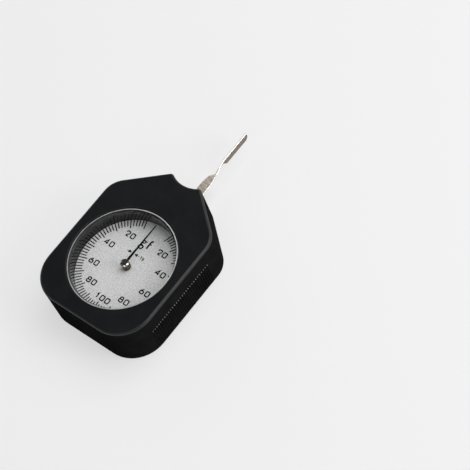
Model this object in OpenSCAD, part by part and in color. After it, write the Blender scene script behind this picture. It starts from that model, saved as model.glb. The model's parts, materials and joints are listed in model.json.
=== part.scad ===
// Dial tension gauge: a flat stylus swings either way in its own plane and,
// through a sector and pinion behind the dial, turns a pointer over a double scale.
// Origin on the back face under the dial's centre, +Y to the stylus, +Z out of the dial.

/* [Dial and window] */
// Radius of the dial that shows inside the rim
dial_view_r = 23.9; // [20:0.1:28]
// Wall of the black rim that stands on the dial
rim_wall = 2.9; // [2:0.1:4]
// Height of the rim between dial and crystal
rim_h = 7.1; // [5.8:0.1:8]
// Thickness of the dial plate
dial_t = 0.4; // [0.3:0.1:1.2]
// How far the dial reaches under the rim
dial_lap = 2.2; // [1:0.1:2.4]
// Thickness of the clear crystal
crystal_t = 1.8; // [1:0.1:2.1]
// How far the crystal reaches over the rim
crystal_lap = 1.35; // [0.7:0.05:1.4]
// Width of the bevel round the top edge of the crystal
crystal_bevel = 0.8; // [0.2:0.1:1.2]
// Drop of that bevel
crystal_drop = 0.2; // [0.1:0.05:0.6]

/* [Case] */
// Wall of the moulded case
wall = 2.6; // [2.3:0.1:3.2]
// Thickness of the front face
front_wall = 2.2; // [2.2:0.1:3.5]
// Gap between the rim and the side walls
side_gap = 0.6; // [0.3:0.1:3]
// Gap between the rim and the lower wall
lower_gap = 2.8; // [0.5:0.1:6]
// Length of the nose beyond the stylus pivot
nose_l = 13.2; // [12.8:0.1:18]
// Half width of the nose where its shoulders would meet its top
nose_half = 8.5; // [8:0.1:11]
// Slope of the shoulders, in degrees
shoulder_slope = 39; // [34:0.5:44]
// Radius of the two lower corners
lower_r = 16; // [12:0.5:20]
// Radius of the two shoulders
shoulder_r = 11; // [8:0.5:14]
// Radius of the two corners of the nose
nose_r = 1.8; // [1.6:0.1:2.4]
// Depth of the hollow in the end of the nose
scoop_depth = 2.2; // [1.4:0.1:2.8]
// Rounding of the front edge
front_edge_r = 1.2; // [0.6:0.1:1.5]
// Rounding of the back edge
back_edge_r = 0.8; // [0.4:0.1:1]

/* [Grip ribs] */
// Ribs on each side
rib_count = 29; // [9:2:31]
// Distance from rib to rib
rib_pitch = 1.34; // [1:0.02:1.4]
// Width of a rib
rib_w = 0.7; // [0.4:0.05:0.9]
// How far a rib stands out of the side
rib_h = 0.45; // [0.2:0.05:0.8]
// Distance from the front face down to the tops of the ribs
rib_drop = 8.7; // [4:0.1:14]
// Distance from the back face up to the feet of the ribs
rib_foot = 1.6; // [1.2:0.1:4]
// Distance of the middle rib from the dial's centre line
rib_shift = 0.75; // [-2:0.25:2]

/* [Back cover] */
// Thickness of the back cover
cover_t = 1.8; // [1.6:0.1:3]
// Width of the ledge that the cover rests on
cover_lap = 1.3; // [1:0.1:1.4]
// Shank radius of a cover screw
cover_screw_r = 1.0; // [0.8:0.05:1.1]
// Head radius of a cover screw
cover_head_r = 2.0; // [1.6:0.1:2.6]
// Head height of a cover screw
cover_head_h = 0.9; // [0.7:0.1:1.1]

/* [Movement plates] */
// Thickness of the two movement plates
plate_t = 1.5; // [1.2:0.1:2.5]
// Distance between the two plates
plate_gap = 6.8; // [6.6:0.1:10]
// Distance from the back cover to the rear plate
rear_gap = 2.2; // [1.6:0.1:4]
// Radius of a standoff between the back cover and the front plate
standoff_r = 2.4; // [2:0.1:2.8]
// Radius of the stud on a standoff
stud_r = 1.15; // [0.9:0.05:1.4]
// Direction of the upper standoffs from the dial's centre
standoff_up = 57; // [52:1:62]
// Direction of the lower standoffs from the dial's centre
standoff_low = -48; // [-54:1:-42]
// Radius of a pillar between the plates
pillar_r = 2.2; // [1.8:0.1:2.8]
// Radius of a pillar screw
pillar_screw_r = 0.9; // [0.7:0.05:1.1]

/* [Sector and pinion] */
// Tooth size, as pitch diameter for each tooth
gear_module = 0.4; // [0.38:0.01:0.44]
// Teeth on the pinion
pinion_teeth = 10; // [10:1:12]
// Turns of the pointer for one turn of the lever
gear_ratio = 15; // [14:1:15]
// Teeth cut on the sector
sector_teeth = 15; // [15:2:17]
// Thickness of the sector
sector_t = 1.2; // [0.8:0.1:1.3]
// Half width of the sector's arm
arm_half = 2.4; // [2:0.1:2.8]
// Width of the rim behind the sector's teeth
sector_rim = 2.2; // [1.6:0.1:3]

/* [Lever and stylus] */
// Swing of the stylus to each side, in degrees
swing = 12; // [8:0.5:12]
// Distance from the pivot to the stylus tip
stylus_l = 52; // [44:0.5:60]
// Width of the stylus where it leaves the case
stylus_w = 4.9; // [4:0.1:5.4]
// Width of the stylus blade
blade_w = 3.7; // [3.2:0.1:4.2]
// Thickness of the stylus
stylus_t = 0.9; // [0.8:0.05:1.1]
// Rounding of the stylus edges
stylus_edge = 0.35; // [0.1:0.05:0.38]
// Distance from the pivot to where the stylus starts to narrow
taper_start = 21; // [16:0.5:23]
// Length over which the stylus narrows
taper_l = 6; // [5:0.1:12]
// Distance from the pivot to the start of the waist in the edge that turns down
waist_start = 25.8; // [23:0.1:27]
// Length of the waist
waist_l = 10.7; // [8:0.1:14]
// Width left at the waist
waist_w = 1.2; // [0.8:0.1:3]
// Distance from the pivot to the start of the twist
twist_start = 26; // [23:0.5:28]
// Length of the quarter twist
twist_l = 10.5; // [8:0.5:14]
// Bevel on the lower corner of the tip
tip_bevel = 1.6; // [0.4:0.1:1.8]
// Thickness of the stylus holder
holder_t = 1.5; // [1.2:0.1:1.8]
// Length of the holder's tongue beyond the pivot
tongue_l = 7.5; // [7.2:0.1:7.8]
// Radius of the lever arbor between the plates
lever_r = 1.5; // [1.2:0.05:1.6]
// Radius of a screw that holds the stylus
stylus_screw_r = 0.6; // [0.45:0.05:0.7]
// Radius of a stop pin
stop_r = 1.0; // [0.7:0.1:1.4]

/* [Springs] */
// Turns of the measuring spring
spring_turns = 4; // [3:1:5]
// Thickness of the measuring spring's strip
spring_t = 0.25; // [0.15:0.05:0.35]
// Width of the measuring spring's strip
spring_w = 1.6; // [1:0.1:1.8]
// Outer radius of the measuring spring
spring_r = 6.4; // [5.5:0.1:7]
// Turns of the hairspring
hair_turns = 6; // [4:1:7]
// Thickness of the hairspring
hair_t = 0.12; // [0.08:0.02:0.16]
// Width of the hairspring
hair_w = 0.6; // [0.4:0.1:0.7]
// Outer radius of the hairspring
hair_r = 6.0; // [5:0.1:7]

/* [Pointer] */
// Radius of the pointer arbor between the plates
arbor_r = 0.75; // [0.65:0.05:0.9]
// Radius of the arbor in its bushes and under the cap
journal_r = 0.6; // [0.45:0.05:0.6]
// Radius of the pointer's bush and cap
hub_r = 2.0; // [1.6:0.1:2.6]
// Height of the bush under the needle
hub_h = 3.0; // [1.6:0.1:3.4]
// Height of the cap over the needle
cap_h = 0.8; // [0.8:0.05:2]
// Distance from the pointer's axis to the needle's tip
needle_l = 22.2; // [16:0.1:23]
// Width of the needle at the hub
needle_w = 1.2; // [0.7:0.1:1.6]
// Width of the needle at its tip
needle_tip_w = 0.4; // [0.2:0.05:0.6]
// Thickness of the needle
needle_t = 0.35; // [0.2:0.05:0.5]

/* [Clearances] */
// Gap round a fixed piece in its hole or pocket
fit_gap = 0.05; // [0.02:0.01:0.1]
// Gap round a turning journal in its bush
running_gap = 0.03; // [0.01:0.01:0.06]
// Gap between a turning piece and its neighbour along the axis
end_gap = 0.1; // [0.05:0.05:0.3]
// Gap between the stylus and the sides of its slot
slot_gap = 0.6; // [0.4:0.1:0.9]
// Play between the teeth
tooth_play = 0.08; // [0.05:0.01:0.12]

/* [Hidden] */
$fn = 64;
eps = 0.01;

// Gear sizes and the distance from the dial's centre to the stylus pivot
pressure_angle = 25;
pinion_pitch_r = gear_module * pinion_teeth / 2;
sector_full_teeth = pinion_teeth * gear_ratio;
sector_pitch_r = gear_module * sector_full_teeth / 2;
pivot_y = pinion_pitch_r + sector_pitch_r;
pivot = [0, pivot_y];
pinion_addendum = 0.9 * gear_module;
sector_addendum = 0.75 * gear_module;
root_gap = 0.3 * gear_module;

// Heights of the stack, from the back face up
rear_z = cover_t + rear_gap;
rear_top = rear_z + plate_t;
front_z = rear_top + plate_gap;
front_top = front_z + plate_t;
dial_top = front_top + dial_t;
rim_top = dial_top + rim_h;
case_t = rim_top + front_wall;

// Heights of the lever between the plates
lever_drop = 0.9;
holder_z = rear_top + lever_drop;
holder_top = holder_z + holder_t;
sector_top = holder_top + sector_t;
pinion_reach = 0.5;
spring_rise = 1.0;
spring_z = sector_top + spring_rise;

// Outline of the case
rim_r = dial_view_r + rim_wall;
half_w = rim_r + side_gap + wall;
low_y = -(rim_r + lower_gap + wall);
top_y = pivot_y + nose_l;
window_r = dial_view_r + crystal_lap + fit_gap;
scoop_half = nose_half - nose_r / 2;
scoop_r = (scoop_half * scoop_half + scoop_depth * scoop_depth) / (2 * scoop_depth);
scoop_y = top_y - scoop_depth + scoop_r;
low_c = [half_w - lower_r, low_y + lower_r];

// Each corner keeps its centre while the outline is drawn in or out
function shoulder_line_y(x, inset) =
  top_y - tan(shoulder_slope) * (x - nose_half) - inset / cos(shoulder_slope);
shoulder_c = [half_w - shoulder_r, shoulder_line_y(half_w - shoulder_r, shoulder_r)];
nose_normal = [sin(shoulder_slope), cos(shoulder_slope)];
nose_along = [cos(shoulder_slope), -sin(shoulder_slope)];
nose_foot = [nose_half, top_y] - nose_r * nose_normal;
nose_rel = nose_foot - [0, scoop_y];
nose_b = nose_rel * nose_along;
nose_q = nose_rel * nose_rel - pow(scoop_r + nose_r, 2);
nose_c = nose_foot + (sqrt(max(nose_b * nose_b - nose_q, 0)) - nose_b) * nose_along;
scoop_dir = atan2(nose_c[1] - scoop_y, nose_c[0]);

function arc_points(c, r, from, to, steps) =
  [for (i = [0:steps]) c + r * [cos(from + (to - from) * i / steps), sin(from + (to - from) * i / steps)]];
function flip(points) = [for (i = [len(points) - 1:-1:0]) [-points[i][0], points[i][1]]];
function side_points(inset) = concat(
  arc_points(low_c, lower_r - inset, -90, 0, 12),
  arc_points(shoulder_c, shoulder_r - inset, 0, 90 - shoulder_slope, 8)
);
function nose_points(inset) = arc_points(nose_c, nose_r - inset, 90 - shoulder_slope, scoop_dir + 180, 8);
function scoop_points(inset) = arc_points([0, scoop_y], scoop_r + inset, scoop_dir, -180 - scoop_dir, 14);
function inner_of(points) = [for (i = [1:len(points) - 2]) points[i]];
function outline(inset) = concat(
  side_points(inset), nose_points(inset), inner_of(scoop_points(inset)),
  flip(nose_points(inset)), flip(side_points(inset))
);

// Inside of the case: the same sides, and a straight end behind the hollow of the nose
cavity_y = top_y - scoop_depth - wall;
cavity_half = nose_half + (top_y - wall / cos(shoulder_slope) - cavity_y) / tan(shoulder_slope);
function cavity_outline() = concat(
  side_points(wall), [[cavity_half, cavity_y], [-cavity_half, cavity_y]], flip(side_points(wall))
);

// Standoffs and pillars
post_gap = 0.4;
standoff_d = rim_r + post_gap + standoff_r;
standoff_at = [
  for (a = [standoff_low, standoff_up, 180 - standoff_up, 180 - standoff_low])
    standoff_d * [cos(a), sin(a)]
];
stud_reach = 4;
screw_reach = 5;
hole_spare = 0.5;
boss_wall = 1.8;
head_sink = 0.2;
plate_margin = 1.2;
plate_r = rim_r - plate_margin;
pillar_wall = 1.5;
pillar_d = plate_r - pillar_wall - pillar_r;
pillar_dir = 43;
pillar_at = [for (a = [pillar_dir, 180 - pillar_dir, -90]) pillar_d * [cos(a), sin(a)]];
pillar_head_h = 0.8;
ear_root = 0.6;

// Lever details
swing_gap = 0.1;
stop_ring = 18;
stop_dir = swing + asin((arm_half + stop_r + swing_gap) / stop_ring);
stop_at = [for (s = [-1, 1]) pivot + stop_ring * [s * sin(stop_dir), -cos(stop_dir)]];
slot_half = nose_l * tan(swing) + stylus_w / 2 / cos(swing) + slot_gap;
hub_wall = 1.3;
lever_hub_r = lever_r + hub_wall;
stylus_rest = 0.3;
stylus_start = lever_hub_r + stylus_rest;
small_head = 1.5;
stylus_head_r = small_head * stylus_screw_r;
stylus_head_h = 0.7;
head_gap = 0.2;
stylus_screw_y = stylus_start + stylus_rest + stylus_head_r;
stylus_screw_at = [for (i = [0, 1]) pivot + [0, stylus_screw_y + i * (2 * stylus_head_r + head_gap)]];
holder_r = 5;
sector_screw_r = 0.5;
sector_head_r = small_head * sector_screw_r;
sector_head_h = 0.6;
sector_screw_at = [for (s = [-1, 1]) pivot + [s * (arm_half - sector_head_r), 2 * sector_head_r - holder_r]];
arm_holes = 3;
arm_wall = 1.2;
lever_step = 0.5;
lever_journal_r = lever_r - lever_step;
bush_wall = 1.2;
collet_wall = 0.9;
spring_inner = lever_r + collet_wall + fit_gap;
stud_pin_r = 0.6;
stud_spare = 0.2;
spring_stud_at = pivot - [0, spring_r + spring_t / 2 + stud_pin_r + fit_gap];
hair_collet_wall = 0.7;
hair_inner = arbor_r + hair_collet_wall + fit_gap;
hair_rise = 0.6;
hair_z = rear_top + hair_rise;
hair_stud_dir = -25;
hair_stud_at = (hair_r + hair_t / 2 + stud_pin_r + fit_gap) * [cos(hair_stud_dir), sin(hair_stud_dir)];

// Pointer heights
hub_rise = 0.5;
hub_z = dial_top + hub_rise;
needle_z = hub_z + hub_h;
cap_z = needle_z + needle_t;
cap_grip = 0.5;
cap_edge = 0.2;
eye_inset = 0.2;
dial_hole_gap = 0.6;

// Slots of the screws, as shares of the head
slot_width = 0.35;
slot_depth = 0.45;

// Tooth flanks are involutes, with the tooth thinned by the play
function involute(a) = tan(a) - a * PI / 180;
function flank_half(r, teeth) =
  let (pitch_r = gear_module * teeth / 2,
       base_r = pitch_r * cos(pressure_angle),
       a = acos(min(1, base_r / r)))
  (PI / (2 * teeth) - tooth_play / (2 * pitch_r) + involute(pressure_angle) - involute(a)) * 180 / PI;
function tooth_points(teeth, turn, root_r, tip_r) =
  let (base_r = gear_module * teeth / 2 * cos(pressure_angle),
       from = max(root_r, base_r),
       steps = 5,
       radii = concat([root_r], [for (i = [0:steps]) from + (tip_r - from) * i / steps]))
  concat(
    [for (r = radii)
      let (a = turn - flank_half(max(r, from), teeth))
      r * [cos(a), sin(a)]],
    [for (i = [len(radii) - 1:-1:0])
      let (a = turn + flank_half(max(radii[i], from), teeth))
      radii[i] * [cos(a), sin(a)]]
  );
function join_lists(lists) = [for (l = lists) for (p = l) p];

// Strip of even thickness wound as a flat spiral
function spiral(inner, outer, turns, end_dir, side, t, n) = [
  for (i = [0:turns * n])
    let (r = inner + t / 2 + (outer - inner - t / 2) * i / (turns * n) + side * t / 2,
         a = end_dir - 360 * (turns - i / n))
    r * [cos(a), sin(a)]
];
module spiral_strip(inner, outer, turns, end_dir, t, w) {
  side_in = spiral(inner, outer, turns, end_dir, -1, t, 24);
  side_out = spiral(inner, outer, turns, end_dir, 1, t, 24);
  linear_extrude(w)
    polygon(concat(side_in, [for (i = [len(side_out) - 1:-1:0]) side_out[i]]));
}

// Closed skin over rings that all have the same number of points
module skin(rings) {
  n = len(rings[0]);
  k = len(rings);
  sides = [
    for (j = [0:k - 2]) for (i = [0:n - 1])
      [j * n + i, (j + 1) * n + i, (j + 1) * n + (i + 1) % n, j * n + (i + 1) % n]
  ];
  ends = [[for (i = [0:n - 1]) i], [for (i = [n - 1:-1:0]) (k - 1) * n + i]];
  polyhedron(points = join_lists(rings), faces = concat(sides, ends), convexity = 6);
}
function at_height(points, z) = [for (p = points) [p[0], p[1], z]];

module at_points(places, z = 0) {
  for (p = places) translate([p[0], p[1], z]) children();
}

// Two discs and the flat between their common tangents, drawn in a hair so that it ends inside both
module link(p, rp, q, rq) {
  d = norm(q - p);
  dir = atan2(q[1] - p[1], q[0] - p[0]);
  b = acos((rp - rq) / d);
  right = [cos(dir - b), sin(dir - b)];
  left = [cos(dir + b), sin(dir + b)];
  translate(p) circle(rp);
  translate(q) circle(rq);
  polygon([p + (rp - eps) * right, q + (rq - eps) * right, q + (rq - eps) * left, p + (rp - eps) * left]);
}

module tube(r_out, r_in, h) {
  difference() {
    cylinder(r = r_out, h = h);
    translate([0, 0, -eps]) cylinder(r = r_in, h = h + 2 * eps);
  }
}

// Screw with its head at the bottom and its shank going up
module slotted_screw(r, l, head_r, head_h) {
  slot_w = head_r * slot_width;
  difference() {
    cylinder(r = head_r, h = head_h);
    translate([-head_r - eps, -slot_w / 2, -eps]) cube([2 * head_r + 2 * eps, slot_w, head_h * slot_depth]);
  }
  translate([0, 0, head_h - eps]) cylinder(r = r, h = l + eps);
}

// Case
module case_skin() {
  steps = 6;
  rings = concat(
    [for (i = [0:steps / 2])
      let (a = 90 * i / (steps / 2))
      at_height(outline(back_edge_r * (1 - sin(a))), back_edge_r * (1 - cos(a)))],
    [for (i = [0:steps])
      let (a = 90 * i / steps)
      at_height(outline(front_edge_r * (1 - cos(a))), case_t - front_edge_r * (1 - sin(a)))]
  );
  skin(rings);
}

module grip_ribs() {
  root = wall / 4;
  first = rib_shift - (rib_count - 1) / 2 * rib_pitch;
  teeth = [
    for (i = [0:rib_count - 1])
      let (y = first + i * rib_pitch)
      [[half_w, y - rib_w / 2], [half_w + rib_h, y - rib_w / 4],
       [half_w + rib_h, y + rib_w / 4], [half_w, y + rib_w / 2]]
  ];
  ends = [[half_w - root, first + (rib_count - 1) * rib_pitch + rib_w], [half_w - root, first - rib_w]];
  translate([0, 0, rib_foot])
    linear_extrude(case_t - rib_drop - rib_foot)
      polygon(concat(join_lists(teeth), ends));
}

module front_case() {
  color("#202022")
  difference() {
    union() {
      difference() {
        union() {
          case_skin();
          grip_ribs();
          mirror([1, 0, 0]) grip_ribs();
        }
        translate([0, 0, -eps]) linear_extrude(rim_top + eps) polygon(cavity_outline());
      }
      at_points(standoff_at, front_top) cylinder(r = standoff_r, h = rim_top - front_top + front_wall / 2);
    }
    translate([0, 0, -eps]) linear_extrude(cover_t + eps) polygon(outline(wall - cover_lap));
    translate([0, 0, rim_top - eps]) cylinder(r = window_r, h = front_wall + 2 * eps);
    translate([-slot_half, cavity_y - eps, holder_top - slot_gap])
      cube([2 * slot_half, top_y - cavity_y + 2 * eps, stylus_t + 2 * slot_gap]);
    at_points(standoff_at, front_top - eps) cylinder(r = stud_r + fit_gap, h = stud_reach + hole_spare);
  }
}

module back_cover() {
  color("#1b1b1d")
  difference() {
    linear_extrude(cover_t) polygon(outline(wall - cover_lap + 2 * fit_gap));
    at_points(standoff_at, -eps) {
      cylinder(r = cover_screw_r + 2 * fit_gap, h = cover_t + 2 * eps);
      cylinder(r = cover_head_r + 2 * fit_gap, h = head_sink + cover_head_h + eps);
    }
  }
}

module cover_screws() {
  shank_l = cover_t - head_sink - cover_head_h + screw_reach;
  color("#3a3a3c")
  at_points(standoff_at, head_sink) slotted_screw(cover_screw_r, shank_l, cover_head_r, cover_head_h);
}

// Window and dial
module crystal() {
  r = window_r - fit_gap;
  color([0.85, 0.9, 0.92, 0.35])
  translate([0, 0, rim_top]) {
    cylinder(r = r, h = crystal_t - crystal_drop);
    translate([0, 0, crystal_t - crystal_drop - eps])
      cylinder(r1 = r, r2 = r - crystal_bevel, h = crystal_drop + eps);
  }
}

module dial_rim() {
  color("#0c0c0d")
  translate([0, 0, dial_top]) tube(rim_r, dial_view_r, rim_h);
}

module dial_plate() {
  color("#d9d9d6")
  translate([0, 0, front_top]) tube(dial_view_r + dial_lap, journal_r + dial_hole_gap, dial_t);
}

// Movement plates
module front_plate() {
  color("#b9a067")
  difference() {
    translate([0, 0, front_z]) linear_extrude(plate_t) {
      circle(plate_r);
      link([0, plate_r - 2 * holder_r], holder_r, pivot, lever_journal_r + bush_wall + boss_wall);
      for (p = standoff_at)
        link(p * ear_root, standoff_r + boss_wall, p, standoff_r + fit_gap);
    }
    translate([0, 0, front_z - eps]) {
      cylinder(r = journal_r + bush_wall + fit_gap, h = plate_t + 2 * eps);
      at_points([pivot]) cylinder(r = lever_journal_r + bush_wall + fit_gap, h = plate_t + 2 * eps);
      at_points(standoff_at) cylinder(r = stud_r + fit_gap, h = plate_t + 2 * eps);
      at_points([spring_stud_at]) cylinder(r = stud_pin_r + fit_gap, h = plate_t + 2 * eps);
      at_points(stop_at) cylinder(r = stop_r + fit_gap, h = plate_t + 2 * eps);
    }
  }
}

module rear_plate() {
  corner_r = pillar_r + pillar_wall;
  kite = [pillar_at[0], pivot, pillar_at[1], pillar_at[2]];
  color("#b9a067")
  difference() {
    translate([0, 0, rear_z]) linear_extrude(plate_t) {
      polygon(kite);
      for (i = [0:3]) link(kite[i], corner_r, kite[(i + 1) % 4], corner_r);
    }
    translate([0, 0, rear_z - eps]) {
      cylinder(r = journal_r + bush_wall + fit_gap, h = plate_t + 2 * eps);
      at_points([pivot]) cylinder(r = lever_journal_r + bush_wall + fit_gap, h = plate_t + 2 * eps);
      at_points(pillar_at) cylinder(r = pillar_screw_r + fit_gap, h = plate_t + 2 * eps);
      at_points([hair_stud_at]) cylinder(r = stud_pin_r + fit_gap, h = plate_t + 2 * eps);
      at_points(standoff_at) cylinder(r = standoff_r + post_gap, h = plate_t + 2 * eps);
      at_points(stop_at) cylinder(r = stop_r + fit_gap, h = plate_t + 2 * eps);
    }
  }
}

module pillars() {
  color("#c7ad6c")
  at_points(pillar_at, rear_top)
    difference() {
      cylinder(r = pillar_r, h = plate_gap);
      translate([0, 0, -eps]) cylinder(r = pillar_screw_r + fit_gap, h = screw_reach - plate_t + hole_spare);
    }
}

module pillar_screws() {
  color("#8d8f92")
  at_points(pillar_at, rear_z - pillar_head_h)
    slotted_screw(pillar_screw_r, screw_reach, small_head * pillar_screw_r, pillar_head_h);
}

module standoffs() {
  color("#9a9c9f")
  at_points(standoff_at, cover_t)
    difference() {
      union() {
        cylinder(r = standoff_r, h = front_z - cover_t);
        translate([0, 0, front_z - cover_t - eps]) cylinder(r = stud_r, h = plate_t + stud_reach + eps);
      }
      translate([0, 0, -eps]) cylinder(r = cover_screw_r + fit_gap, h = screw_reach + hole_spare);
    }
}

module pointer_bushes() {
  color("#cdb36f")
  for (z = [rear_z, front_z])
    translate([0, 0, z]) tube(journal_r + bush_wall, journal_r + running_gap, plate_t);
}

module lever_bushes() {
  color("#cdb36f")
  at_points([pivot])
    for (z = [rear_z, front_z])
      translate([0, 0, z]) tube(lever_journal_r + bush_wall, lever_journal_r + running_gap, plate_t);
}

module stop_pins() {
  color("#8d8f92")
  at_points(stop_at, rear_z) cylinder(r = stop_r, h = front_top - rear_z);
}

// Springs
module measuring_spring() {
  color("#5d6a78")
  translate([pivot[0], pivot[1], spring_z])
    spiral_strip(spring_inner, spring_r, spring_turns, -90, spring_t, spring_w);
}

module spring_stud() {
  color("#c7ad6c")
  at_points([spring_stud_at], spring_z - stud_spare)
    cylinder(r = stud_pin_r, h = front_top - spring_z + stud_spare);
}

module hairspring() {
  color("#5d6a78")
  translate([0, 0, hair_z])
    spiral_strip(hair_inner, hair_r, hair_turns, hair_stud_dir, hair_t, hair_w);
}

module hairspring_stud() {
  color("#c7ad6c")
  at_points([hair_stud_at], rear_z) cylinder(r = stud_pin_r, h = hair_z + hair_w + stud_spare - rear_z);
}

// Lever
function smooth(t) = let (c = min(1, max(0, t))) c * c * (3 - 2 * c);
function stylus_half(y) = (stylus_w + (blade_w - stylus_w) * smooth((y - taper_start) / taper_l)) / 2;
function stylus_waist(y) =
  let (run = waist_l / 4)
  (blade_w - waist_w) * (smooth((y - waist_start) / run) - smooth((y - waist_start - waist_l + run) / run));
function stylus_turn(y) = 90 * smooth((y - twist_start) / twist_l);
function strip_section(left, right) =
  let (e = stylus_edge, flat = stylus_t / 2 - e, steps = 2)
  concat(
    arc_points([right - e, -flat], e, 0, -90, steps), arc_points([e - left, -flat], e, -90, -180, steps),
    arc_points([e - left, flat], e, 180, 90, steps), arc_points([right - e, flat], e, 90, 0, steps)
  );
function stylus_ring(y) =
  let (h = stylus_half(y), a = stylus_turn(y))
  [for (c = strip_section(h - stylus_waist(y), h))
    [c[0] * cos(a) - c[1] * sin(a), pivot_y + y, holder_top + stylus_t / 2 + c[0] * sin(a) + c[1] * cos(a)]];

module stylus() {
  steps = 30;
  blade_y = twist_start + twist_l;
  rings = concat(
    [stylus_ring(stylus_start)],
    [for (i = [0:steps]) stylus_ring(taper_start + (blade_y - taper_start) * i / steps)],
    [stylus_ring(stylus_l)]
  );
  color("#d8d6d0")
  difference() {
    skin(rings);
    at_points(stylus_screw_at, holder_top - eps)
      cylinder(r = stylus_screw_r + fit_gap, h = stylus_t + 2 * eps);
    translate([0, pivot_y + stylus_l, holder_top + stylus_t / 2 - blade_w / 2])
      rotate([45, 0, 0]) cube([2 * stylus_t, tip_bevel * sqrt(2), tip_bevel * sqrt(2)], center = true);
  }
}

module stylus_holder() {
  color("#b6b8ba")
  difference() {
    translate([0, 0, holder_z]) {
      linear_extrude(holder_t) {
        translate(pivot) circle(holder_r);
        translate([-stylus_w / 2, pivot_y]) square([stylus_w, tongue_l]);
      }
    }
    translate([0, 0, holder_z - eps]) {
      at_points([pivot]) cylinder(r = lever_r + fit_gap, h = holder_t + 2 * eps);
      at_points(stylus_screw_at) cylinder(r = stylus_screw_r + fit_gap, h = holder_t + 2 * eps);
      at_points(sector_screw_at) cylinder(r = sector_screw_r + fit_gap, h = holder_t + 2 * eps);
    }
  }
}

module stylus_screws() {
  color("#8d8f92")
  at_points(stylus_screw_at, holder_top + stylus_t + stylus_head_h)
    mirror([0, 0, 1]) slotted_screw(stylus_screw_r, stylus_t + holder_t, stylus_head_r, stylus_head_h);
}

module lever_arbor() {
  color("#a7a9ac")
  at_points([pivot], rear_z) {
    cylinder(r = lever_journal_r, h = front_top - rear_z);
    translate([0, 0, plate_t + end_gap]) cylinder(r = lever_r, h = plate_gap - 2 * end_gap);
  }
}

module sector_gear() {
  root_r = sector_pitch_r - pinion_addendum - root_gap;
  tip_r = sector_pitch_r + sector_addendum;
  rim_in = root_r - sector_rim;
  step = 360 / sector_full_teeth;
  first = -90 - step * (sector_teeth - 1) / 2;
  teeth = join_lists([for (i = [0:sector_teeth - 1])
    tooth_points(sector_full_teeth, first + i * step, root_r, tip_r)]);
  hole_step = (rim_in - holder_r) / (arm_holes + 1);
  color("#c9ad5e")
  difference() {
    translate([pivot[0], pivot[1], holder_top])
      linear_extrude(sector_t)
        difference() {
          union() {
            difference() {
              polygon(concat([[0, 0]], teeth));
              circle(rim_in);
            }
            translate([-arm_half, -rim_in - sector_rim / 2]) square([2 * arm_half, rim_in + sector_rim / 2]);
            circle(lever_hub_r);
          }
          for (i = [1:arm_holes]) translate([0, -holder_r - i * hole_step]) circle(arm_half - arm_wall);
        }
    translate([0, 0, holder_top - eps]) {
      at_points([pivot]) cylinder(r = lever_r + fit_gap, h = sector_t + 2 * eps);
      at_points(sector_screw_at) cylinder(r = sector_screw_r + fit_gap, h = sector_t + 2 * eps);
    }
  }
}

module sector_screws() {
  color("#8d8f92")
  at_points(sector_screw_at, sector_top + sector_head_h)
    mirror([0, 0, 1]) slotted_screw(sector_screw_r, sector_t + holder_t, sector_head_r, sector_head_h);
}

module spring_collet() {
  color("#c7ad6c")
  at_points([pivot], sector_top)
    tube(lever_r + collet_wall, lever_r + fit_gap, spring_rise + spring_w + stud_spare);
}

// Pointer
module pointer_arbor() {
  color("#a7a9ac")
  translate([0, 0, rear_z]) {
    cylinder(r = journal_r, h = cap_z + cap_grip - rear_z);
    translate([0, 0, plate_t + end_gap]) cylinder(r = arbor_r, h = plate_gap - 2 * end_gap);
  }
}

module pinion() {
  root_r = pinion_pitch_r - sector_addendum - root_gap;
  tip_r = pinion_pitch_r + pinion_addendum;
  step = 360 / pinion_teeth;
  teeth = join_lists([for (i = [0:pinion_teeth - 1])
    tooth_points(pinion_teeth, 90 + step * (i + 0.5), root_r, tip_r)]);
  color("#c9ad5e")
  translate([0, 0, holder_top - pinion_reach])
    difference() {
      linear_extrude(sector_t + 2 * pinion_reach) polygon(teeth);
      translate([0, 0, -eps]) cylinder(r = arbor_r + fit_gap, h = sector_t + 2 * pinion_reach + 2 * eps);
    }
}

module hairspring_collet() {
  color("#c7ad6c")
  translate([0, 0, hair_z - stud_spare])
    tube(hair_inner - fit_gap, arbor_r + fit_gap, hair_w + 2 * stud_spare);
}

module pointer_bush() {
  color("#b59a63")
  translate([0, 0, hub_z]) tube(hub_r, journal_r + fit_gap, hub_h);
}

module pointer_needle() {
  color("#111111")
  translate([0, 0, needle_z])
    difference() {
      linear_extrude(needle_t) {
        circle(hub_r - eye_inset);
        polygon([
          [-needle_w / 2, 0], [needle_w / 2, 0],
          [needle_tip_w / 2, needle_l], [-needle_tip_w / 2, needle_l]
        ]);
      }
      translate([0, 0, -eps]) cylinder(r = journal_r + fit_gap, h = needle_t + 2 * eps);
    }
}

module pointer_cap() {
  color("#b59a63")
  translate([0, 0, cap_z])
    difference() {
      union() {
        cylinder(r = hub_r, h = cap_h - cap_edge);
        translate([0, 0, cap_h - cap_edge - eps])
          cylinder(r1 = hub_r, r2 = hub_r - cap_edge, h = cap_edge + eps);
      }
      translate([0, 0, -eps]) cylinder(r = journal_r + fit_gap, h = cap_grip + end_gap);
    }
}

front_case();
back_cover();
cover_screws();
crystal();
dial_rim();
dial_plate();
front_plate();
rear_plate();
pillars();
pillar_screws();
standoffs();
pointer_bushes();
lever_bushes();
stop_pins();
measuring_spring();
spring_stud();
hairspring();
hairspring_stud();
stylus();
stylus_holder();
stylus_screws();
lever_arbor();
sector_gear();
sector_screws();
spring_collet();
pointer_arbor();
pinion();
hairspring_collet();
pointer_bush();
pointer_needle();
pointer_cap();
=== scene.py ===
import json
import math

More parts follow.
